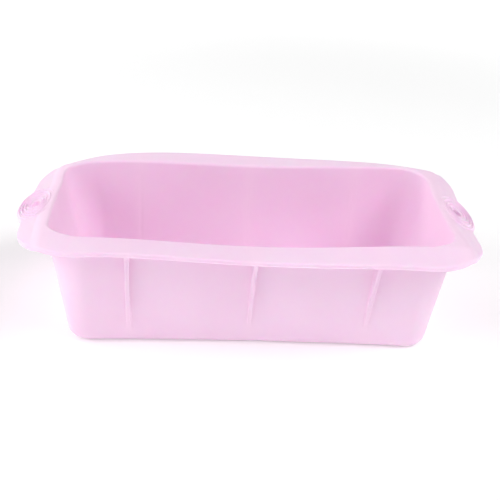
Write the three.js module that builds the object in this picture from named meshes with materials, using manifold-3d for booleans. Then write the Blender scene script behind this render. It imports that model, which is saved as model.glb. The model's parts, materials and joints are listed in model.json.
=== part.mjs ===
// Soap loaf mould: one soft silicone moulding, drawn as its named regions.
// Millimetres, +Z up, X along the loaf. The origin is the middle of the base, on the worktop.
import * as THREE from "three";
import { mergeVertices } from "three/addons/utils/BufferGeometryUtils.js";
import Module from "manifold-3d";

// Driving dimensions
const HEIGHT = 71; // worktop to the top of the rim
const MOUTH_LENGTH = 228; // opening at the rim
const MOUTH_WIDTH = 108;
const MOUTH_CORNER = 20; // plan radius of the opening's corners
const TAPER = 9; // how far each wall leans in between rim and base
const WALL = 2;
const FLOOR = 2;
const BASE_ROUND = 7; // outside radius where the walls turn into the floor
const FLOOR_EDGE = -14; // floor panel's edge, measured out from the mouth line
const FLANGE_WIDTH = 17; // mouth edge to the outer edge of the rim
const FLANGE_THICK = 3;
const LIP_ROUND = 1; // rounding of the rim's edges

const FOLD_GAP = 0.3; // clearance between the fold's round nose and its seat
const DROOP = THREE.MathUtils.degToRad(24); // how far each end tab is moulded below level
const TAB_HALF = 21; // half the width of the bulge in the middle of each end
const TAB_BULGE = 5; // how far the bulge stands out past the rim's end
const TAB_NECK = 4; // half the width of the hollow where the bulge leaves the rim's end
const TAB_NECK_DIP = 0.5; // depth of that hollow
const TAB_FLATNESS = 0.75; // share of the bulge's half width over which its tip is nearly straight

const HOLE_FROM_FOLD = 8.3; // hang hole centre, measured along the tab
const HOLE_HALF = new THREE.Vector2(3, 5); // half of the oval's size, along X and along Y
const RING_COUNT = 4;
const RING_FIRST = new THREE.Vector2(4.75, 7.4); // mid-line of the innermost ripple, halved the same way
const RING_STEP = new THREE.Vector2(1.85, 4.4); // from one ripple to the next
const RING_WIDTH = 0.9;
const RING_RISE = 0.6;
const RING_FOLD_MARGIN = 1.2; // the ripples stop this far short of the fold
const RING_GAP = 0.02; // sliver between a ripple and the tab's top

const RIB_SPACING = 68.5; // between ribs along each long wall
const RIB_THICK = 2.4;
const RIB_FOOT = 15; // height at which a rib has faded into the wall
const RIB_TOP_REACH = 12; // how far a rib's top runs out under the rim
const RIB_WAIST_REACH = 5.5; // how far it stands out below its flared top
const RIB_WAIST_DROP = 13; // from the rim's underside down to that waist
const RIB_FLARE = 0.3; // share of that drop over which the rib sweeps out under the rim
const RIB_GAP = 0.05; // sliver between a rib and the wall

const SILICONE_PINK = 0xf2cbe7;

const CORNER_STEPS = 7; // facets in each plan corner
const ARC_STEPS = 4; // facets in each base round
const HOLE_STEPS = 28; // facets around the hang hole and each ripple
const BULGE_STEPS = 9; // facets along half of a tab's bulge
const NOSE_STEPS = 16; // facets around the fold's round nose

// Worked out from the driving dimensions
const HALF_LENGTH = MOUTH_LENGTH / 2;
const HALF_WIDTH = MOUTH_WIDTH / 2;
const RIM_UNDERSIDE = HEIGHT - FLANGE_THICK;
const LEAN = Math.atan(TAPER / HEIGHT);
const FOLD_RADIUS = FLANGE_THICK / 2;
const FRAME_END = HALF_LENGTH + WALL; // the rim frame stops level with the outside of the end wall
const FOLD_X = FRAME_END + FOLD_GAP + FOLD_RADIUS;
const FOLD_Z = HEIGHT - FLANGE_THICK / 2;
const RIM_CORNER = {
  cornerX: HALF_LENGTH - MOUTH_CORNER - FOLD_X, // centre of the rim's plan corner, from the fold
  cornerY: HALF_WIDTH - MOUTH_CORNER,
  radius: MOUTH_CORNER + FLANGE_WIDTH,
};
const FOLD_LENGTH = 2 * (RIM_CORNER.cornerY + Math.sqrt(RIM_CORNER.radius ** 2 - RIM_CORNER.cornerX ** 2));

const wasm = await Module();
wasm.setup();

const mould = new THREE.Group();

function addPiece(name, geometry, parent = mould) {
  const silicone = new THREE.MeshStandardMaterial({ color: SILICONE_PINK, roughness: 0.45, metalness: 0 });
  const piece = new THREE.Mesh(geometry, silicone);
  piece.name = name;
  parent.add(piece);
  return piece;
}

// Solids for joins and cuts
function toSolid(geometry) {
  const bare = geometry.clone();
  bare.deleteAttribute("normal");
  bare.deleteAttribute("uv");
  const merged = mergeVertices(bare, 1e-5);
  const mesh = new wasm.Mesh({
    numProp: 3,
    vertProperties: new Float32Array(merged.attributes.position.array),
    triVerts: new Uint32Array(merged.index.array),
  });
  return new wasm.Manifold(mesh);
}

function toGeometry(solid) {
  const mesh = solid.getMesh();
  const geometry = new THREE.BufferGeometry();
  geometry.setAttribute("position", new THREE.BufferAttribute(mesh.vertProperties, 3));
  geometry.setIndex(new THREE.BufferAttribute(mesh.triVerts, 1));
  return geometry;
}

// Plan outline of the mouth, moved outwards by `offset`
function mouthOutline(offset) {
  const radius = MOUTH_CORNER + offset;
  const points = [];
  for (let corner = 0; corner < 4; corner++) {
    const sideX = corner === 0 || corner === 3 ? 1 : -1;
    const sideY = corner < 2 ? 1 : -1;
    for (let step = 0; step <= CORNER_STEPS; step++) {
      const angle = (corner + step / CORNER_STEPS) * (Math.PI / 2);
      const x = sideX * (HALF_LENGTH - MOUTH_CORNER) + radius * Math.cos(angle);
      const y = sideY * (HALF_WIDTH - MOUTH_CORNER) + radius * Math.sin(angle);
      points.push(new THREE.Vector2(x, y));
    }
  }
  return points;
}

// Carries a closed section (x = offset from the mouth line, y = height) once around the mould
function bandAround(section) {
  const rings = section.map((point) => mouthOutline(point.x));
  const size = rings[0].length;
  const positions = [];
  rings.forEach((ring, i) => ring.forEach((p) => positions.push(p.x, p.y, section[i].y)));
  const index = [];
  for (let i = 0; i < rings.length; i++) {
    const above = (i + 1) % rings.length;
    for (let j = 0; j < size; j++) {
      const next = (j + 1) % size;
      index.push(i * size + j, i * size + next, above * size + next);
      index.push(i * size + j, above * size + next, above * size + j);
    }
  }
  const geometry = new THREE.BufferGeometry();
  geometry.setAttribute("position", new THREE.Float32BufferAttribute(positions, 3));
  geometry.setIndex(index);
  return geometry;
}

// Offset of the leaning wall's inner face at a height
function innerFace(height) {
  return -TAPER * (1 - height / HEIGHT);
}

// Round between the floor at `floorHeight` and a leaning wall that meets the worktop at `wallOffset`
function baseRound(wallOffset, floorHeight, radius) {
  const centreHeight = floorHeight + radius;
  const centreOffset = wallOffset + centreHeight * Math.tan(LEAN) - radius / Math.cos(LEAN);
  const points = [];
  for (let step = 0; step <= ARC_STEPS; step++) {
    const angle = -Math.PI / 2 + (step / ARC_STEPS) * (Math.PI / 2 - LEAN);
    const across = centreOffset + radius * Math.cos(angle);
    points.push(new THREE.Vector2(across, centreHeight + radius * Math.sin(angle)));
  }
  return points;
}

// Quarter round of the rim's lip: `turn` is the angle it starts at
function lipRound(centreOffset, centreHeight, turn) {
  return [0, 1, 2].map((step) => {
    const angle = turn + (step * Math.PI) / 4;
    const across = centreOffset + LIP_ROUND * Math.cos(angle);
    return new THREE.Vector2(across, centreHeight + LIP_ROUND * Math.sin(angle));
  });
}

function makeFloor() {
  const shape = new THREE.Shape(mouthOutline(FLOOR_EDGE));
  const geometry = new THREE.ExtrudeGeometry(shape, { depth: FLOOR, bevelEnabled: false });
  addPiece("floor_panel", geometry);
}

function makeWalls() {
  const outside = baseRound(WALL - TAPER, 0, BASE_ROUND);
  const inside = baseRound(-TAPER, FLOOR, BASE_ROUND - WALL).reverse();
  const section = [
    new THREE.Vector2(FLOOR_EDGE, 0),
    ...outside,
    new THREE.Vector2(WALL + innerFace(RIM_UNDERSIDE), RIM_UNDERSIDE),
    new THREE.Vector2(innerFace(RIM_UNDERSIDE), RIM_UNDERSIDE),
    ...inside,
    new THREE.Vector2(FLOOR_EDGE, FLOOR),
  ];
  addPiece("wall_band", bandAround(section));
}

function makeRimFrame() {
  const lip = FLANGE_WIDTH - LIP_ROUND;
  const section = [
    new THREE.Vector2(innerFace(RIM_UNDERSIDE), RIM_UNDERSIDE),
    ...lipRound(lip, RIM_UNDERSIDE + LIP_ROUND, -Math.PI / 2),
    ...lipRound(lip, HEIGHT - LIP_ROUND, 0),
    ...lipRound(LIP_ROUND, HEIGHT - LIP_ROUND, Math.PI / 2),
  ];
  const span = new THREE.BoxGeometry(2 * FRAME_END, 4 * HALF_WIDTH, 4 * HEIGHT);
  const frame = toSolid(bandAround(section)).intersect(toSolid(span));
  addPiece("rim_frame", toGeometry(frame));
}

function makeRibs() {
  const top = RIM_UNDERSIDE;
  const face = (height) => HALF_WIDTH + WALL + RIB_GAP + innerFace(height);
  const waist = top - RIB_WAIST_DROP;
  const shape = new THREE.Shape();
  shape.moveTo(face(RIB_FOOT), RIB_FOOT);
  shape.lineTo(face(waist) + RIB_WAIST_REACH, waist);
  const bend = new THREE.Vector2(face(top) + RIB_WAIST_REACH, top - RIB_WAIST_DROP * RIB_FLARE);
  shape.quadraticCurveTo(bend.x, bend.y, face(top) + RIB_TOP_REACH, top);
  shape.lineTo(face(top), top);
  shape.closePath();
  const options = { depth: RIB_THICK, bevelEnabled: false, curveSegments: 5 };
  const fin = new THREE.ExtrudeGeometry(shape, options).translate(0, 0, -RIB_THICK / 2);
  // The drawing plane stands up along Y and Z, and the thickness runs along X
  const upright = new THREE.Matrix4().makeBasis(
    new THREE.Vector3(0, 1, 0),
    new THREE.Vector3(0, 0, 1),
    new THREE.Vector3(1, 0, 0),
  );
  fin.applyMatrix4(upright);
  const places = { left: -RIB_SPACING, middle: 0, right: RIB_SPACING };
  for (const [place, x] of Object.entries(places)) {
    const back = addPiece(`back_rib_${place}`, fin);
    back.position.x = x;
    const front = addPiece(`front_rib_${place}`, fin);
    front.position.x = x;
    front.rotation.z = Math.PI;
  }
}

// Outline of an end tab, flat: x runs out from the fold, y across the mould
function tabOutline() {
  const stretch = 1 / Math.cos(DROOP); // the drooped tab keeps its length in plan
  const { cornerX, cornerY, radius } = RIM_CORNER;
  const end = cornerX + radius;
  const tip = end + TAB_BULGE;
  const start = Math.acos((-LIP_ROUND - cornerX) / radius); // begins inside the fold's round nose
  const half = [];
  for (let step = 0; step <= CORNER_STEPS; step++) {
    const angle = start * (1 - step / CORNER_STEPS);
    half.push(new THREE.Vector2(cornerX + radius * Math.cos(angle), cornerY + radius * Math.sin(angle)));
  }
  // The bulge is a flat arc with a small hollow where it leaves the end
  const bulge = new THREE.CubicBezierCurve(
    new THREE.Vector2(end, TAB_HALF + TAB_NECK),
    new THREE.Vector2(end - TAB_NECK_DIP, TAB_HALF - TAB_NECK),
    new THREE.Vector2(tip, TAB_HALF * TAB_FLATNESS),
    new THREE.Vector2(tip, 0),
  );
  half.push(...bulge.getPoints(BULGE_STEPS));
  const mirrored = half.slice(0, -1).reverse().map((p) => new THREE.Vector2(p.x, -p.y));
  return [...half, ...mirrored].map((p) => new THREE.Vector2(p.x * stretch, p.y));
}

function ovalPoints(halfX, halfY) {
  return new THREE.EllipseCurve(HOLE_FROM_FOLD, 0, halfX, halfY).getPoints(HOLE_STEPS).slice(0, -1);
}

// A block that holds everything on a tab farther from the fold than `margin`
function beyondFold(margin) {
  const size = 2 * FOLD_LENGTH;
  return toSolid(new THREE.BoxGeometry(size, size, size).translate(margin + size / 2, 0, 0));
}

function makeTabPlate() {
  const shape = new THREE.Shape(tabOutline());
  shape.holes.push(new THREE.Path(ovalPoints(HOLE_HALF.x, HOLE_HALF.y)));
  const plate = new THREE.ExtrudeGeometry(shape, {
    depth: FLANGE_THICK - 2 * LIP_ROUND,
    bevelThickness: LIP_ROUND,
    bevelSize: LIP_ROUND,
    bevelOffset: -LIP_ROUND,
    bevelSegments: 2,
  });
  plate.translate(0, 0, LIP_ROUND - FLANGE_THICK / 2);
  const nose = new THREE.CylinderGeometry(FOLD_RADIUS, FOLD_RADIUS, FOLD_LENGTH, NOSE_STEPS);
  return toGeometry(toSolid(plate).intersect(beyondFold(0)).add(toSolid(nose)));
}

function makeRipple(index) {
  const middle = RING_FIRST.clone().addScaledVector(RING_STEP, index);
  const half = RING_WIDTH / 2;
  const shape = new THREE.Shape(ovalPoints(middle.x + half, middle.y + half));
  shape.holes.push(new THREE.Path(ovalPoints(middle.x - half, middle.y - half)));
  const ring = new THREE.ExtrudeGeometry(shape, { depth: RING_RISE, bevelEnabled: false });
  ring.translate(0, 0, FLANGE_THICK / 2 + RING_GAP);
  return toGeometry(toSolid(ring).intersect(beyondFold(RING_FOLD_MARGIN)));
}

function makeTabs() {
  const plate = makeTabPlate();
  const ripples = Array.from({ length: RING_COUNT }, (_, index) => makeRipple(index));
  for (const side of ["left", "right"]) {
    const heading = new THREE.Group();
    heading.rotation.z = side === "left" ? Math.PI : 0;
    const fold = new THREE.Group();
    fold.position.set(FOLD_X, 0, FOLD_Z);
    fold.rotation.y = DROOP;
    heading.add(fold);
    mould.add(heading);
    addPiece(`${side}_grip_tab`, plate, fold);
    ripples.forEach((ripple, index) => {
      addPiece(`${side}_ripple_${index + 1}`, ripple, fold);
    });
  }
}

makeFloor();
makeWalls();
makeRimFrame();
makeRibs();
makeTabs();

export default mould;
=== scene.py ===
"""A soft pink silicone loaf mould: the skins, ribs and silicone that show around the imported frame.

Every shape is first drawn straight, in metres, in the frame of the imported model: +X along the loaf,
+Y to the back, +Z up. Then settle() bends the end tabs down and gives the rim its soft waves.
"""

import json
import math

import bmesh
import bpy
import numpy as np
from mathutils import Matrix, Vector


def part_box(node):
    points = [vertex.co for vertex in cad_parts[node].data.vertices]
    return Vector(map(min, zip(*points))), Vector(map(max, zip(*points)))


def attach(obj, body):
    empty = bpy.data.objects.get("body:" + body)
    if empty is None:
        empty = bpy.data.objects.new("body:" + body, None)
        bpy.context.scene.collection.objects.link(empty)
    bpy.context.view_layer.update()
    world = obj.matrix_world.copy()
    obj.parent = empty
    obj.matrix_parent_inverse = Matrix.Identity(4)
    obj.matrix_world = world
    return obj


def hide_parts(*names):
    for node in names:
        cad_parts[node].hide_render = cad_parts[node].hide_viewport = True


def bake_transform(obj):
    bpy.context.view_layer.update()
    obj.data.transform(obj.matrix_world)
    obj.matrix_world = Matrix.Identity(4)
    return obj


MM = 0.001

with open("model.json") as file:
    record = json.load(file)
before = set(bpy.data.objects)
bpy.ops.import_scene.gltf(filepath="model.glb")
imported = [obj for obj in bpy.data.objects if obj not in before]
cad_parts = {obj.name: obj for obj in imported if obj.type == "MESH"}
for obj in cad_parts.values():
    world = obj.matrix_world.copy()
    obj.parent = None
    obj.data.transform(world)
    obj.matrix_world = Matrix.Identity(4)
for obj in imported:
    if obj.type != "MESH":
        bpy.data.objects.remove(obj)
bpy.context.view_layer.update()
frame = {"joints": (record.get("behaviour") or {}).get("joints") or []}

# ---------------------------------------------------------------- sizes, from the frame
rim_low, rim_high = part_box("rim_frame")
_, floor_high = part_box("floor_panel")
JOINTS = {joint["name"]: joint for joint in frame["joints"]}

WALL = 2 * MM
FLANGE = 17 * MM  # width of the rim
TAPER = 9 * MM  # lean of each wall over the full height
MOUTH_CORNER = 20 * MM
TOP = rim_high.z
UNDERSIDE = rim_low.z
FLOOR = floor_high.z
HALF_X = rim_high.x - WALL  # half of the opening
HALF_Y = rim_high.y - FLANGE
SEAM_X = rim_high.x  # where the tab skins take over from the body skin
TONGUE = 0.4 * MM  # how far a tab skin reaches in under the surface there, so that no crack shows
FOLD_X = JOINTS["right_tab_flex"]["pos_m"][0]
FOLD_Z = JOINTS["right_tab_flex"]["pos_m"][2]
DROOP = math.radians(24)  # how far the end tabs hang at rest
TAB_STRETCH = 1 / math.cos(DROOP)

BASE_ROUND = 7 * MM
RIM_FILLET = 1.3 * MM  # between the outer wall and the rim's underside
MOUTH_ROUND = 1.9 * MM  # soft edge of the opening
LIP_ROUND = 0.9 * MM
FLASH = 0.25 * MM  # thin parting line along the bottom of the lip
FLASH_HEIGHT = 0.7 * MM
LEAN = math.atan(TAPER / TOP)

TAB_HALF = 21 * MM
TAB_NECK = 4 * MM
TAB_BULGE = 5 * MM
RIB_PLACES = {"left": -70.3 * MM, "middle": 0.0, "right": 68.5 * MM}
RIB_FEET = {"left": 9 * MM, "middle": 14 * MM, "right": 14 * MM}
RIB_LEANS = {"left": -1.7 * MM, "middle": 0.2 * MM, "right": 2.6 * MM}  # sideways, right under the rim
RIB_HALF = 1.4 * MM
SINK_DEPTH = 0.22 * MM  # marks inside the long walls, opposite the ribs
SINK_HALF = 1.0 * MM
PANEL_BULGE = 1.2 * MM  # how far the long walls puff out between the ribs

HOLE_X = FOLD_X + 8.3 * MM / TAB_STRETCH  # drawn straight, before the tab droops
HOLE_HALF = np.array([2.6, 4.3]) * MM
HOLE_ROUND = 0.6 * MM
RIPPLES = [np.array([4.75 + 1.85 * k, 7.4 + 4.4 * k]) * MM for k in range(4)]
RIPPLE_RISES = np.array([1.05, 1.05, 1.0, 0.65]) * MM
RIPPLE_HALF = 0.58 * MM


def smooth(t):
    t = np.clip(t, 0.0, 1.0)
    return t * t * (3 - 2 * t)


# ---------------------------------------------------------------- how soft silicone settles
# In millimetres, from the left end of the loaf to its right end, unless a line says otherwise.
RIM_LIFT_FRONT = (1.2, 2.7, 0.3, 2.1, 2.7)  # how far the opening's edge stands above level
RIM_LIFT_BACK = (-2.8, 1.5, 0.5, 1.9, 0.8)
RIM_TILT_FRONT = (0.12, 0.05, 0.35)  # downward slope of the rim outside the opening, a ratio
RIM_TILT_BACK = (0.27, 0.02, 0.0, 0.16, 0.37)
FOOT_BOW_FRONT = (-1.1, 2.4, -1.1)  # how far the foot of the front wall stands back
END_SHIFT_LEFT = (1.0, -2.1, 0.9)  # how far the top of each end wall stands to the right, front to back
END_SHIFT_RIGHT = (0.8, -2.0, 0.9)
FOOT_SHIFT_LEFT = 0.8  # how far the foot of each end wall stands to the right
FOOT_SHIFT_RIGHT = -1.8
PULL_FRONT_LEFT = (0.0, 2.0)  # how far each corner of the opening is pulled right and back
PULL_FRONT_RIGHT = (1.2, -0.3)
PULL_BACK_LEFT = (-4.3, 1.1)
PULL_BACK_RIGHT = (0.2, 0.3)
PULL_REACH = 14 * MM
SETTLE_REACH_X = 116 * MM  # half of the length and of the width that the stations are spread over
SETTLE_REACH_Y = 60 * MM
PANEL_END = 25 * MM  # over this length, at each end of a long wall, its panels fade to flat
BELLY_START = 25 * MM  # a wall puffs out only beyond this distance from the middle
BELLY_RISE = 15 * MM
DROOP_LEFT = (19.5, 16.5)  # degrees that each tab hangs down, at its front and at its back
DROOP_RIGHT = (28.0, 19.5)
BEND_HALF = 2.6 * MM  # half the length over which a tab bends at its root


def through(values, place):
    """A smooth curve through evenly spaced values, from place -1 to place 1."""
    stations = np.linspace(-1, 1, len(values))
    curve = np.polyfit(stations, values, len(values) - 1)
    return np.polyval(curve, np.clip(place, -1.05, 1.05))


def droop(points):
    """Bends both end tabs down about their fold lines, over a short smooth curve."""
    points = points.copy()
    start = FOLD_X - BEND_HALF
    side = np.sign(points[:, 0])
    out = np.abs(points[:, 0]) - start
    beyond = out > 0
    side = side[beyond]
    length = out[beyond] + (TAB_STRETCH - 1) * np.maximum(out[beyond] - BEND_HALF, 0)
    depth = np.clip(points[beyond, 1] / SETTLE_REACH_Y, -1, 1)
    hang = np.where(side < 0, through(DROOP_LEFT, depth), through(DROOP_RIGHT, depth))
    steps = np.linspace(0, 1, 33)
    path = length[:, None] * steps
    angle = np.radians(hang)[:, None] * smooth(path / (2 * BEND_HALF))
    middle_x = np.trapz(np.cos(angle), path, axis=1)
    middle_z = -np.trapz(np.sin(angle), path, axis=1)
    height = points[beyond, 2] - FOLD_Z
    end = angle[:, -1]
    points[beyond, 0] = side * (start + middle_x + height * np.sin(end))
    points[beyond, 2] = FOLD_Z + middle_z + height * np.cos(end)
    return points


def settle(points):
    """Where each point of the straight drawing lies once the soft mould stands on a table."""
    points = np.asarray(points, float)
    settled = droop(points)
    along = points[:, 0] / SETTLE_REACH_X
    across = np.clip(points[:, 1] / SETTLE_REACH_Y, -1, 1)
    near, far = (1 - across) / 2, (1 + across) / 2
    left, right = (1 - np.clip(along, -1, 1)) / 2, (1 + np.clip(along, -1, 1)) / 2
    high = smooth(points[:, 2] / TOP)
    lift = near * through(RIM_LIFT_FRONT, along) + far * through(RIM_LIFT_BACK, along)
    over = np.maximum(np.abs(points[:, 1]) - HALF_Y, 0)
    tilt = np.where(across < 0, through(RIM_TILT_FRONT, along), through(RIM_TILT_BACK, along))
    settled[:, 2] += high * lift * MM - over * tilt
    foot = near * through(FOOT_BOW_FRONT, along)
    settled[:, 1] += (1 - high) * foot * MM
    shift = left * through(END_SHIFT_LEFT, across) + right * through(END_SHIFT_RIGHT, across)
    foot_shift = left * FOOT_SHIFT_LEFT + right * FOOT_SHIFT_RIGHT
    settled[:, 0] += (high * shift + (1 - high) * foot_shift) * MM
    panel = np.sin(math.pi * points[:, 0] / RIB_PLACES["right"]) ** 2
    panel = panel * smooth((HALF_X - np.abs(points[:, 0])) / PANEL_END)
    level = np.clip(points[:, 2] / TOP, 0, 1)
    belly = 4 * level * (1 - level) * smooth((np.abs(points[:, 1]) - BELLY_START) / BELLY_RISE)
    settled[:, 1] += np.sign(points[:, 1]) * PANEL_BULGE * panel * belly
    corners = {
        (-1, -1): PULL_FRONT_LEFT,
        (1, -1): PULL_FRONT_RIGHT,
        (-1, 1): PULL_BACK_LEFT,
        (1, 1): PULL_BACK_RIGHT,
    }
    inset = 0.3 * MOUTH_CORNER
    for (turn_x, turn_y), pull in corners.items():
        away_x = points[:, 0] - turn_x * (HALF_X - inset)
        away_y = points[:, 1] - turn_y * (HALF_Y - inset)
        share = high * np.exp(-(away_x**2 + away_y**2) / PULL_REACH**2)
        settled[:, :2] += share[:, None] * np.array(pull) * MM
    return settled


# ---------------------------------------------------------------- meshes
def make_object(name, vertices, faces):
    mesh = bpy.data.meshes.new(name)
    mesh.from_pydata([tuple(v) for v in vertices], [], faces)
    mesh.validate()
    made = bpy.data.objects.new(name, mesh)
    bpy.context.scene.collection.objects.link(made)
    return made


def shade(made, degrees=50):
    """Smooth shading, with edges sharper than that many degrees left crisp."""
    for polygon in made.data.polygons:
        polygon.use_smooth = True
    made.data.set_sharp_from_angle(angle=math.radians(degrees))


def long_side_stations(pitch=3.2 * MM):
    """Where the points of a long side stand, from +X to -X, closer together opposite the ribs."""
    reach = HALF_X - MOUTH_CORNER
    steps = round(2 * reach / pitch)
    even = np.linspace(reach, -reach, steps + 1)[1:-1]
    close = np.array([-3.0, -2.2, -1.6, -1.1, -0.7, -0.35, 0, 0.35, 0.7, 1.1, 1.6, 2.2, 3.0]) * MM
    ribs = np.concatenate([place + close for place in RIB_PLACES.values()])
    apart = np.min(np.abs(even[:, None] - ribs[None, :]), axis=1)
    return np.sort(np.concatenate([even[apart > 0.8 * MM], ribs]))[::-1]


def mouth_outline(offset, corner_steps=22, pitch=3.2 * MM):
    """Plan of the opening moved outwards by offset; every offset gives the same number of points."""
    radius = max(MOUTH_CORNER + offset, 0.5 * MM)
    core_x, core_y = HALF_X + offset - radius, HALF_Y + offset - radius
    along = long_side_stations()
    across = np.linspace(core_y, -core_y, round(3 * core_y / pitch) + 1)[1:-1]
    corners = [(core_x, core_y), (-core_x, core_y), (-core_x, -core_y), (core_x, -core_y)]
    top = np.c_[along, np.full(len(along), core_y + radius)]
    left = np.c_[np.full(len(across), -core_x - radius), across]
    points = []
    for turn, (corner, side) in enumerate(zip(corners, [top, left, -top, -left])):
        angles = np.linspace(turn, turn + 1, corner_steps + 1) * math.pi / 2
        points.append(np.c_[corner[0] + radius * np.cos(angles), corner[1] + radius * np.sin(angles)])
        points.append(side)
    return np.vstack(points)


def arc(centre, radius, start, end, steps):
    angles = np.radians(np.linspace(start, end, steps + 1))
    return [(centre[0] + radius * math.cos(a), centre[1] + radius * math.sin(a)) for a in angles]


def line(start, end, steps):
    """Points from start to end, without start."""
    shares = np.linspace(0, 1, steps + 1)[1:]
    return [(start[0] + s * (end[0] - start[0]), start[1] + s * (end[1] - start[1])) for s in shares]


def inner_face(height):
    return -TAPER * (1 - height / TOP)


def base_round(wall_offset, floor_height, radius, steps):
    """The round from a floor up to a leaning wall; wall_offset is where that wall meets height 0."""
    centre_z = floor_height + radius
    centre = (wall_offset + centre_z * math.tan(LEAN) - radius / math.cos(LEAN), centre_z)
    return arc(centre, radius, -90, -math.degrees(LEAN), steps)


def lip_section():
    """The rim's outer edge, from the underside up to the top."""
    side = FLANGE
    low = UNDERSIDE + FLASH_HEIGHT
    return [
        (side - 1.1 * MM, UNDERSIDE),
        (side - 0.5 * MM, UNDERSIDE + 0.06 * MM),
        (side - 0.12 * MM, UNDERSIDE + 0.25 * MM),
        (side, low - 0.22 * MM),
        (side + FLASH, low - 0.08 * MM),
        (side + FLASH, low + 0.08 * MM),
        (side, low + 0.22 * MM),
        *line((side, low + 0.22 * MM), (side, TOP - LIP_ROUND), 3),
        *arc((side - LIP_ROUND, TOP - LIP_ROUND), LIP_ROUND, 0, 90, 6)[1:],
    ]


def skin_section():
    """Half a section of floor, wall and rim, from the flat underside round to the flat floor."""
    outer = base_round(WALL - TAPER, 0, BASE_ROUND, 12)
    inner = base_round(-TAPER, FLOOR, BASE_ROUND - WALL, 10)[::-1]
    turn = 90 - math.degrees(LEAN)
    fillet_z = UNDERSIDE - RIM_FILLET
    fillet_x = WALL + inner_face(UNDERSIDE) + RIM_FILLET
    outer_top = arc((fillet_x, fillet_z), RIM_FILLET, 180 - math.degrees(LEAN), 90, 5)
    mouth = arc((MOUTH_ROUND, TOP - MOUTH_ROUND), MOUTH_ROUND, 90, 90 + turn, 8)
    section = list(outer)
    section += line(outer[-1], outer_top[0], 22)
    section += outer_top[1:]
    section += line(outer_top[-1], (FLANGE - 1.1 * MM, UNDERSIDE), 14)[:-1]
    section += lip_section()
    section += line((FLANGE - LIP_ROUND, TOP), (MOUTH_ROUND, TOP), 17)[:-1]
    section += mouth
    section += line(mouth[-1], inner[0], 22)[:-1]
    section += inner
    return section


def with_sink_marks(ring, offset, height):
    """Presses the marks opposite the ribs into a ring, if it lies on the inside of the walls."""
    if offset > inner_face(height) + WALL / 2:
        return ring
    fade = smooth((height - 14 * MM) / (12 * MM)) * smooth((TOP - 5 * MM - height) / (6 * MM))
    on_side = np.abs(ring[:, 1]) > HALF_Y + offset - 0.5 * MM
    mark = sum(np.exp(-(((ring[:, 0] - place) / SINK_HALF) ** 2)) for place in RIB_PLACES.values())
    ring[:, 1] += np.sign(ring[:, 1]) * on_side * SINK_DEPTH * fade * mark
    return ring


def shrinking(ring, floor_z, steps=9):
    """Rings that shrink from an outline to near the middle of a flat floor."""
    shares = [1 - step / (steps + 0.3) for step in range(1, steps + 1)]
    return [np.c_[ring * share, np.full(len(ring), floor_z)] for share in shares]


def loft(rings, middle_low, middle_high):
    """A closed skin over rings of equal length, capped by a fan at each end."""
    count = len(rings[0])
    vertices = np.vstack([*rings, [middle_low], [middle_high]])
    faces = []
    for i in range(len(rings) - 1):
        for j in range(count):
            k = (j + 1) % count
            faces.append((i * count + j, i * count + k, (i + 1) * count + k, (i + 1) * count + j))
    low, high = len(vertices) - 2, len(vertices) - 1
    last = (len(rings) - 1) * count
    for j in range(count):
        k = (j + 1) % count
        faces.append((low, k, j))
        faces.append((high, last + j, last + k))
    return vertices, faces


def cut_ends(made):
    """Cuts the skin off level at both seams and closes the cuts."""
    cut = bmesh.new()
    cut.from_mesh(made.data)
    for side in (-1, 1):
        parts = cut.verts[:] + cut.edges[:] + cut.faces[:]
        bmesh.ops.bisect_plane(
            cut, geom=parts, plane_co=(side * SEAM_X, 0, 0), plane_no=(side, 0, 0), clear_outer=True
        )
        rim = [e for e in cut.edges if e.is_boundary]
        bmesh.ops.edgeloop_fill(cut, edges=rim)
    cut.to_mesh(made.data)
    cut.free()


def settle_mesh(made, nearness):
    """Bends a straight mesh into its settled shape, and notes how close each point is to another piece."""
    count = len(made.data.vertices)
    flat = np.zeros(count * 3)
    made.data.vertices.foreach_get("co", flat)
    points = flat.reshape(-1, 3)
    joined = made.data.attributes.new("joined", "FLOAT", "POINT")
    joined.data.foreach_set("value", nearness(points))
    made.data.vertices.foreach_set("co", settle(points).ravel())
    made.data.update()


def near_seam(points):
    """1 at a seam between two skins, fading to 0 a few millimetres away."""
    return 1 - smooth((np.abs(np.abs(points[:, 0]) - SEAM_X) - 1.0 * MM) / (6 * MM))


def near_seam_or_rib(points):
    from_rib = np.min([np.abs(points[:, 0] - place) for place in RIB_PLACES.values()], axis=0) - RIB_HALF
    beside = 1 - smooth((from_rib - 0.5 * MM) / (4 * MM))
    on_long_wall = smooth((np.abs(points[:, 1]) - 36 * MM) / (5 * MM)) * (points[:, 2] > 5 * MM)
    return np.maximum(near_seam(points), beside * on_long_wall)


def near_wall(points):
    """1 where a rib springs from the wall, fading to 0 towards its face."""
    out = np.abs(points[:, 1]) - (HALF_Y + WALL + inner_face(points[:, 2]))
    return 1 - smooth((out - 0.5 * MM) / (2.5 * MM))


def face_outward(made):
    outward = bmesh.new()
    outward.from_mesh(made.data)
    bmesh.ops.recalc_face_normals(outward, faces=outward.faces)
    outward.to_mesh(made.data)
    outward.free()


def make_body_skin():
    """Floor, walls and the long sides of the rim: one continuous skin."""
    section = skin_section()
    rings = []
    for offset, height in section:
        ring = with_sink_marks(mouth_outline(offset), offset, height)
        rings.append(np.c_[ring, np.full(len(ring), height)])
    bottom = shrinking(rings[0][:, :2], 0.0)[::-1]
    inside = shrinking(rings[-1][:, :2], FLOOR)
    vertices, faces = loft(bottom + rings + inside, (0, 0, 0), (0, 0, FLOOR))
    made = make_object("body_skin", vertices, faces)
    cut_ends(made)
    settle_mesh(made, near_seam_or_rib)
    shade(made)
    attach(made, "mould")
    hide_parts("floor_panel", "wall_band", "rim_frame")
    return made


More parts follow.
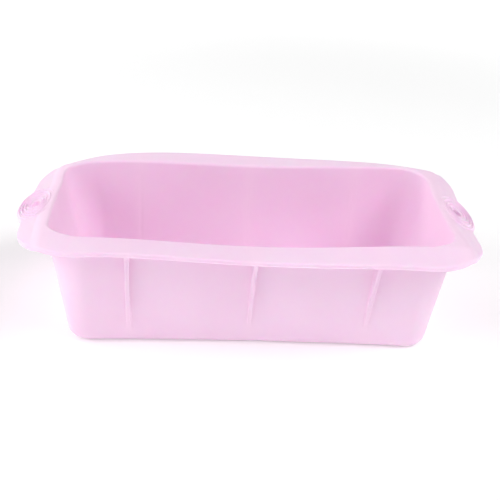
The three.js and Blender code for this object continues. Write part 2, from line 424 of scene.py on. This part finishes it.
# ---------------------------------------------------------------- end tabs
def tab_outline():
    """Plan of a right-hand tab, from the near end of the seam round the outside to its far end."""
    core_x, core_y = HALF_X - MOUTH_CORNER, HALF_Y - MOUTH_CORNER
    radius = MOUTH_CORNER + FLANGE
    end, tip = core_x + radius, core_x + radius + TAB_BULGE
    start = math.acos((SEAM_X - core_x) / radius)
    angles = np.linspace(start, 0, 40)
    half = [(core_x + radius * math.cos(a), core_y + radius * math.sin(a)) for a in angles]
    neck, shoulder = (end, TAB_HALF + TAB_NECK), (end - 0.5 * MM, TAB_HALF - TAB_NECK)
    half += line(half[-1], neck, 5)
    handles = [neck, shoulder, (tip, TAB_HALF * 0.75), (tip, 0)]
    for t in np.linspace(0, 1, 41)[1:]:
        weights = ((1 - t) ** 3, 3 * t * (1 - t) ** 2, 3 * t * t * (1 - t), t**3)
        half.append(tuple(sum(w * np.array(h) for w, h in zip(weights, handles))))
    far = np.array(half)
    near = far[:-1][::-1] * (1, -1)
    return np.vstack([far, near])[::-1]


def ripple_height(x, y):
    """How far the raised ripples stand up at a point of the straight tab."""
    dx = (np.abs(x) - HOLE_X) * TAB_STRETCH
    height = np.zeros_like(x)
    for (a, b), rise in zip(RIPPLES, RIPPLE_RISES):
        size = np.sqrt((dx / a) ** 2 + (y / b) ** 2) + 1e-9
        slope = np.sqrt((dx / a**2) ** 2 + (y / b**2) ** 2) / size + 1e-9
        away = np.abs((size - 1) / slope) / RIPPLE_HALF
        height += rise * np.where(away < 1, 0.5 + 0.5 * np.cos(math.pi * np.minimum(away, 1)), 0)
    from_fold = (np.abs(x) - FOLD_X) / MM
    return height * smooth((from_fold + 0.8) / 2.0)


def mouth_distance(x, y):
    """How far a plan point lies outside the opening's edge."""
    dx = np.maximum(np.abs(x) - (HALF_X - MOUTH_CORNER), 0)
    dy = np.maximum(np.abs(y) - (HALF_Y - MOUTH_CORNER), 0)
    return np.hypot(dx, dy) - MOUTH_CORNER


def fillet_drop(x, y):
    """How far the fillet under the rim hangs below the underside."""
    short = np.clip(RIM_FILLET - (mouth_distance(x, y) - WALL - inner_face(UNDERSIDE)), 0, RIM_FILLET)
    return RIM_FILLET - np.sqrt(RIM_FILLET**2 - short**2)


def seam_reach(inset):
    """Half the length of the seam, where the rim's outline is drawn in by inset."""
    radius = MOUTH_CORNER + FLANGE - inset
    return HALF_Y - MOUTH_CORNER + math.sqrt(radius**2 - (SEAM_X - HALF_X + MOUTH_CORNER) ** 2)


def around_hole(centre, unit, size, height):
    points = centre + unit * size * np.array([1 / TAB_STRETCH, 1.0])
    return np.c_[points, np.full(len(points), height)]


def make_tab_mesh():
    """A right-hand tab with its hole, as rings of points over the top, lip and underside."""
    outline = tab_outline()
    seam = np.array(line(outline[-1], outline[0], 90))[:-1]
    boundary = np.vstack([outline, seam])
    on_seam = np.r_[np.zeros(len(outline), bool), np.ones(len(seam), bool)]
    on_seam[[0, len(outline) - 1]] = True
    tangent = np.roll(boundary, -1, 0) - np.roll(boundary, 1, 0)
    inward = np.c_[-tangent[:, 1], tangent[:, 0]]
    inward /= np.linalg.norm(inward, axis=1)[:, None]

    def drawn_in(inset):
        along_seam = boundary * (1, seam_reach(inset) / seam_reach(0))
        return np.where(on_seam[:, None], along_seam, boundary + inward * inset)

    centre = np.array([HOLE_X, 0.0])
    lip_top = drawn_in(LIP_ROUND)
    angle = np.arctan2(boundary[:, 1] / 2, boundary[:, 0] - HOLE_X)
    unit = np.c_[np.cos(angle), np.sin(angle)]
    hole = around_hole(centre, unit, HOLE_HALF + HOLE_ROUND, 0)[:, :2]
    ripple_edge = around_hole(centre, unit, RIPPLES[-1] + RIPPLE_HALF, 0)[:, :2]
    share = np.linalg.norm(ripple_edge - centre, axis=1) / np.linalg.norm(lip_top - centre, axis=1)
    middle = centre + (lip_top - centre) * np.minimum(share, 0.93)[:, None]
    plan = [hole + (middle - hole) * t for t in np.linspace(0, 1, 56)]
    plan += [middle + (lip_top - middle) * t for t in np.linspace(0, 1, 15)[1:]]

    rings = [np.c_[p, TOP + ripple_height(p[:, 0], p[:, 1])] for p in plan]
    for offset, height in lip_section()[::-1][1:]:
        edge = drawn_in(FLANGE - offset)
        if height > UNDERSIDE:
            edge = edge - on_seam[:, None] * np.array([TONGUE, 0.0])
        rings.append(np.c_[edge, np.full(len(boundary), height)])
    rings[-1][:, 2] -= fillet_drop(rings[-1][:, 0], rings[-1][:, 1])
    rings += [np.c_[p, UNDERSIDE - fillet_drop(p[:, 0], p[:, 1])] for p in plan[::-1][1:]]
    for angle_up in np.radians([-60, -30, 0]):
        size = HOLE_HALF + HOLE_ROUND * (1 - math.cos(angle_up))
        rings.append(around_hole(centre, unit, size, UNDERSIDE + HOLE_ROUND * (1 + math.sin(angle_up))))
    for angle_up in np.radians([0, 30, 60]):
        size = HOLE_HALF + HOLE_ROUND * (1 - math.cos(angle_up))
        rings.append(around_hole(centre, unit, size, TOP - HOLE_ROUND * (1 - math.sin(angle_up))))

    count, total = len(boundary), len(rings)
    faces = []
    for i in range(total):
        above = (i + 1) % total
        for j in range(count):
            k = (j + 1) % count
            faces.append((i * count + j, above * count + j, above * count + k, i * count + k))
    return np.vstack(rings), faces


def make_tab_skin(side):
    vertices, faces = make_tab_mesh()
    if side == "left":
        vertices = vertices * (-1, 1, 1)
        faces = [face[::-1] for face in faces]
    made = make_object(f"{side}_tab_skin", vertices, faces)
    settle_mesh(made, near_seam)
    face_outward(made)
    shade(made)
    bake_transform(made)
    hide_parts(f"{side}_grip_tab", *[f"{side}_ripple_{k}" for k in (1, 2, 3, 4)])
    return made


# ---------------------------------------------------------------- ribs
RIB_WAIST = 55 * MM  # above this height a rib flares out under the rim
RIB_WAIST_REACH = 5.5 * MM
RIB_FLARE = 5.2 * MM
RIB_LEAN_HEIGHT = 9 * MM
RIB_EDGE = 0.65 * MM
RIB_FILLET = 0.5 * MM
RIB_DISH = 0.12 * MM  # how far the face of a rib sinks between its edges


def rib_reach(height, foot):
    """How far a rib stands out from the wall at a height."""
    straight = RIB_WAIST_REACH * (height - foot) / (RIB_WAIST - foot)
    flare = max(0.0, (height - RIB_WAIST) / (UNDERSIDE - RIB_WAIST))
    return max(0.05 * MM, straight + RIB_FLARE * flare**3)


def rib_section(reach):
    """Points (sideways, outwards) from inside the wall, over the face of the rib, and back."""
    foot = min(RIB_FILLET, 0.4 * reach)
    edge = min(RIB_EDGE, 0.55 * reach)
    flat = RIB_HALF - edge
    side = [(RIB_HALF + foot, -0.5 * MM)]
    for angle in np.radians([0, 30, 60, 90]):
        side.append((RIB_HALF + foot * (1 - math.sin(angle)), foot * (1 - math.cos(angle))))
    for angle in np.radians([0, 18, 36, 54, 72, 90]):
        side.append((flat + edge * math.cos(angle), reach - edge + edge * math.sin(angle)))
    dish = min(RIB_DISH, 0.2 * reach)
    side.append((0.5 * flat, reach - 0.75 * dish))
    return side + [(0.0, reach - dish)] + [(-x, out) for x, out in side[::-1]]


def make_rib(place, row, turn):
    foot = RIB_FEET[place]
    rings = []
    for height in np.linspace(foot, UNDERSIDE + 0.6 * MM, 60):
        rise = max(0.0, (height - UNDERSIDE) / RIB_LEAN_HEIGHT + 1)
        middle = RIB_PLACES[place] + RIB_LEANS[place] * rise**2.2
        face = HALF_Y + WALL + inner_face(height)
        section = rib_section(rib_reach(height, foot))
        rings.append(np.array([(middle + x, turn * (face + out), height) for x, out in section]))
    vertices, faces = loft(rings, rings[0].mean(0), rings[-1].mean(0))
    made = make_object(f"{row}_rib_{place}_skin", vertices, faces)
    settle_mesh(made, near_wall)
    face_outward(made)
    shade(made)
    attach(made, "mould")
    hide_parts(f"{row}_rib_{place}")
    return made


# ---------------------------------------------------------------- silicone
PALE_PINK = (0.96, 0.705, 0.88, 1)
DEEP_PINK = (0.94, 0.67, 0.855, 1)
TRANSLUCENCY = 0.6
CLOUD_SCALE, HAZE_SCALE, GRAIN_SCALE, SWELL_SCALE = 16.0, 90.0, 1400.0, 45.0  # of the noises, per metre


class Nodes:
    """A short way to add and join the nodes of a material or of the world."""

    def __init__(self, owner, shader="Principled BSDF"):
        owner.use_nodes = True
        self.tree = owner.node_tree
        self.shader = self.tree.nodes[shader]

    def add(self, kind, inputs=None, **settings):
        node = self.tree.nodes.new(kind)
        for name, value in settings.items():
            setattr(node, name, value)
        for name, value in (inputs or {}).items():
            if isinstance(value, bpy.types.NodeSocket):
                self.tree.links.new(value, node.inputs[name])
            else:
                node.inputs[name].default_value = value
        return node

    def noise(self, place, scale, detail):
        inputs = {"Vector": place, "Scale": scale, "Detail": detail}
        return self.add("ShaderNodeTexNoise", inputs).outputs["Fac"]

    def blend(self, low, high, value, low_out=0.0, high_out=1.0):
        """Maps value from low..high to low_out..high_out, smoothly."""
        inputs = {"Value": value, "From Min": low, "From Max": high, "To Min": low_out, "To Max": high_out}
        node = self.add("ShaderNodeMapRange", inputs, interpolation_type="SMOOTHSTEP")
        return node.outputs["Result"]


def make_silicone():
    material = bpy.data.materials.new("pink_silicone")
    nodes = Nodes(material)
    shader = nodes.shader
    shader.inputs["Specular IOR Level"].default_value = 0.3
    shader.inputs["Subsurface Radius"].default_value = (1.0, 0.6, 0.85)
    shader.inputs["Subsurface Scale"].default_value = 0.9 * MM
    place = nodes.add("ShaderNodeTexCoord").outputs["Object"]

    cloud = nodes.noise(place, CLOUD_SCALE, 3.0)
    tint = nodes.add("ShaderNodeValToRGB", {"Fac": cloud})
    tint.color_ramp.elements[0].position = 0.32
    tint.color_ramp.elements[0].color = DEEP_PINK
    tint.color_ramp.elements[1].position = 0.68
    tint.color_ramp.elements[1].color = PALE_PINK
    nodes.tree.links.new(tint.outputs["Color"], shader.inputs["Base Color"])

    haze = nodes.noise(place, HAZE_SCALE, 4.0)
    nodes.tree.links.new(nodes.blend(0.3, 0.7, haze, 0.42, 0.54), shader.inputs["Roughness"])

    joined = nodes.add("ShaderNodeAttribute", attribute_name="joined").outputs["Fac"]
    weight = nodes.blend(0.0, 1.0, joined, TRANSLUCENCY, 0.0)
    nodes.tree.links.new(weight, shader.inputs["Subsurface Weight"])

    grain = nodes.noise(place, GRAIN_SCALE, 2.0)
    fine = nodes.add("ShaderNodeBump", {"Height": grain, "Strength": 0.25, "Distance": 0.05 * MM})
    swell = nodes.noise(place, SWELL_SCALE, 1.0)
    inputs = {"Height": swell, "Strength": 0.35, "Distance": 0.6 * MM, "Normal": fine.outputs["Normal"]}
    wavy = nodes.add("ShaderNodeBump", inputs)
    nodes.tree.links.new(wavy.outputs["Normal"], shader.inputs["Normal"])
    return material


# ---------------------------------------------------------------- studio
CAMERA_AIM = Vector((0.2 * MM, 0, 38.9 * MM))
CAMERA_DISTANCE = 569 * MM
CAMERA_YAW, CAMERA_PITCH, CAMERA_ROLL = (math.radians(a) for a in (2.9, 28.6, -2.95))
CAMERA_LENS = 66.7


def make_camera():
    ahead = Vector(
        (
            math.sin(CAMERA_YAW) * math.cos(CAMERA_PITCH),
            math.cos(CAMERA_YAW) * math.cos(CAMERA_PITCH),
            -math.sin(CAMERA_PITCH),
        )
    )
    right = Vector((math.cos(CAMERA_YAW), -math.sin(CAMERA_YAW), 0))
    down = ahead.cross(right)
    turned_right = math.cos(CAMERA_ROLL) * right + math.sin(CAMERA_ROLL) * down
    turned_down = -math.sin(CAMERA_ROLL) * right + math.cos(CAMERA_ROLL) * down
    data = bpy.data.cameras.new("camera")
    data.sensor_width = 36
    data.lens = CAMERA_LENS
    camera = bpy.data.objects.new("camera", data)
    place = Matrix((turned_right, -turned_down, -ahead)).transposed().to_4x4()
    place.translation = CAMERA_AIM - ahead * CAMERA_DISTANCE
    camera.matrix_world = place
    bpy.context.scene.collection.objects.link(camera)
    bpy.context.scene.camera = camera


FLOOR_GLOW_NEAR = 0.21  # keeps the floor pale near the mould, and from a metre away
FLOOR_GLOW_FAR = 0.9
SKY_LOW = 0.9  # brightness at the horizon, and higher up
SKY_HIGH = 0.1
FLOOR_SIZE = 60  # metres
FLOOR_GAP = 0.05 * MM  # between the mould and the floor
SOFTBOXES = {  # place and size in metres, power in watts
    "left_softbox": ((-1.25, -0.45, 0.85), (1.1, 0.9), 11.5),
    "high_right_softbox": ((1.0, -0.4, 1.2), (1.0, 0.9), 16.2),
    "left_back_softbox": ((-1.1, 0.7, 0.6), (0.9, 0.8), 6.2),
    "back_softbox": ((0.0, 1.1, 1.0), (1.2, 0.8), 2.4),
    "front_softbox": ((0.0, -1.1, 1.25), (1.2, 0.8), 2.2),
}


def make_floor():
    bpy.ops.mesh.primitive_plane_add(size=FLOOR_SIZE, location=(0, 0, -FLOOR_GAP))
    ground = bpy.context.object
    ground.name = "studio_floor"
    white = bpy.data.materials.new("studio_white")
    nodes = Nodes(white)
    nodes.shader.inputs["Base Color"].default_value = (0.85, 0.85, 0.85, 1)
    nodes.shader.inputs["Roughness"].default_value = 0.9
    nodes.shader.inputs["Specular IOR Level"].default_value = 0.0
    nodes.shader.inputs["Emission Color"].default_value = (1, 1, 1, 1)
    place = nodes.add("ShaderNodeTexCoord").outputs["Object"]
    away = nodes.add("ShaderNodeVectorMath", {0: place}, operation="LENGTH").outputs["Value"]
    glow = nodes.blend(0.45, 1.3, away, FLOOR_GLOW_NEAR, FLOOR_GLOW_FAR)
    nodes.tree.links.new(glow, nodes.shader.inputs["Emission Strength"])
    ground.data.materials.append(white)


def make_sky():
    world = bpy.data.worlds.new("studio_air")
    nodes = Nodes(world, "Background")
    direction = nodes.add("ShaderNodeTexCoord").outputs["Generated"]
    height = nodes.add("ShaderNodeSeparateXYZ", {"Vector": direction}).outputs["Z"]
    nodes.tree.links.new(nodes.blend(0.05, 0.32, height, SKY_LOW, SKY_HIGH), nodes.shader.inputs["Strength"])
    nodes.shader.inputs["Color"].default_value = (1, 1, 1, 1)
    bpy.context.scene.world = world


def make_studio():
    make_floor()
    make_sky()
    for name, (place, size, power) in SOFTBOXES.items():
        data = bpy.data.lights.new(name, "AREA")
        data.shape = "RECTANGLE"
        data.size, data.size_y = size
        data.energy = power
        lamp = bpy.data.objects.new(name, data)
        lamp.location = place
        aim = Vector((0, 0, 40 * MM)) - Vector(place)
        lamp.rotation_euler = aim.to_track_quat("-Z", "Y").to_euler()
        bpy.context.scene.collection.objects.link(lamp)
    bpy.context.scene.view_settings.view_transform = "Standard"


# ---------------------------------------------------------------- assembly
make_camera()
pieces = [make_body_skin(), make_tab_skin("left"), make_tab_skin("right")]
for row, turn in (("front", -1), ("back", 1)):
    pieces += [make_rib(place, row, turn) for place in RIB_PLACES]
silicone = make_silicone()
for piece in pieces:
    piece.data.materials.append(silicone)
make_studio()
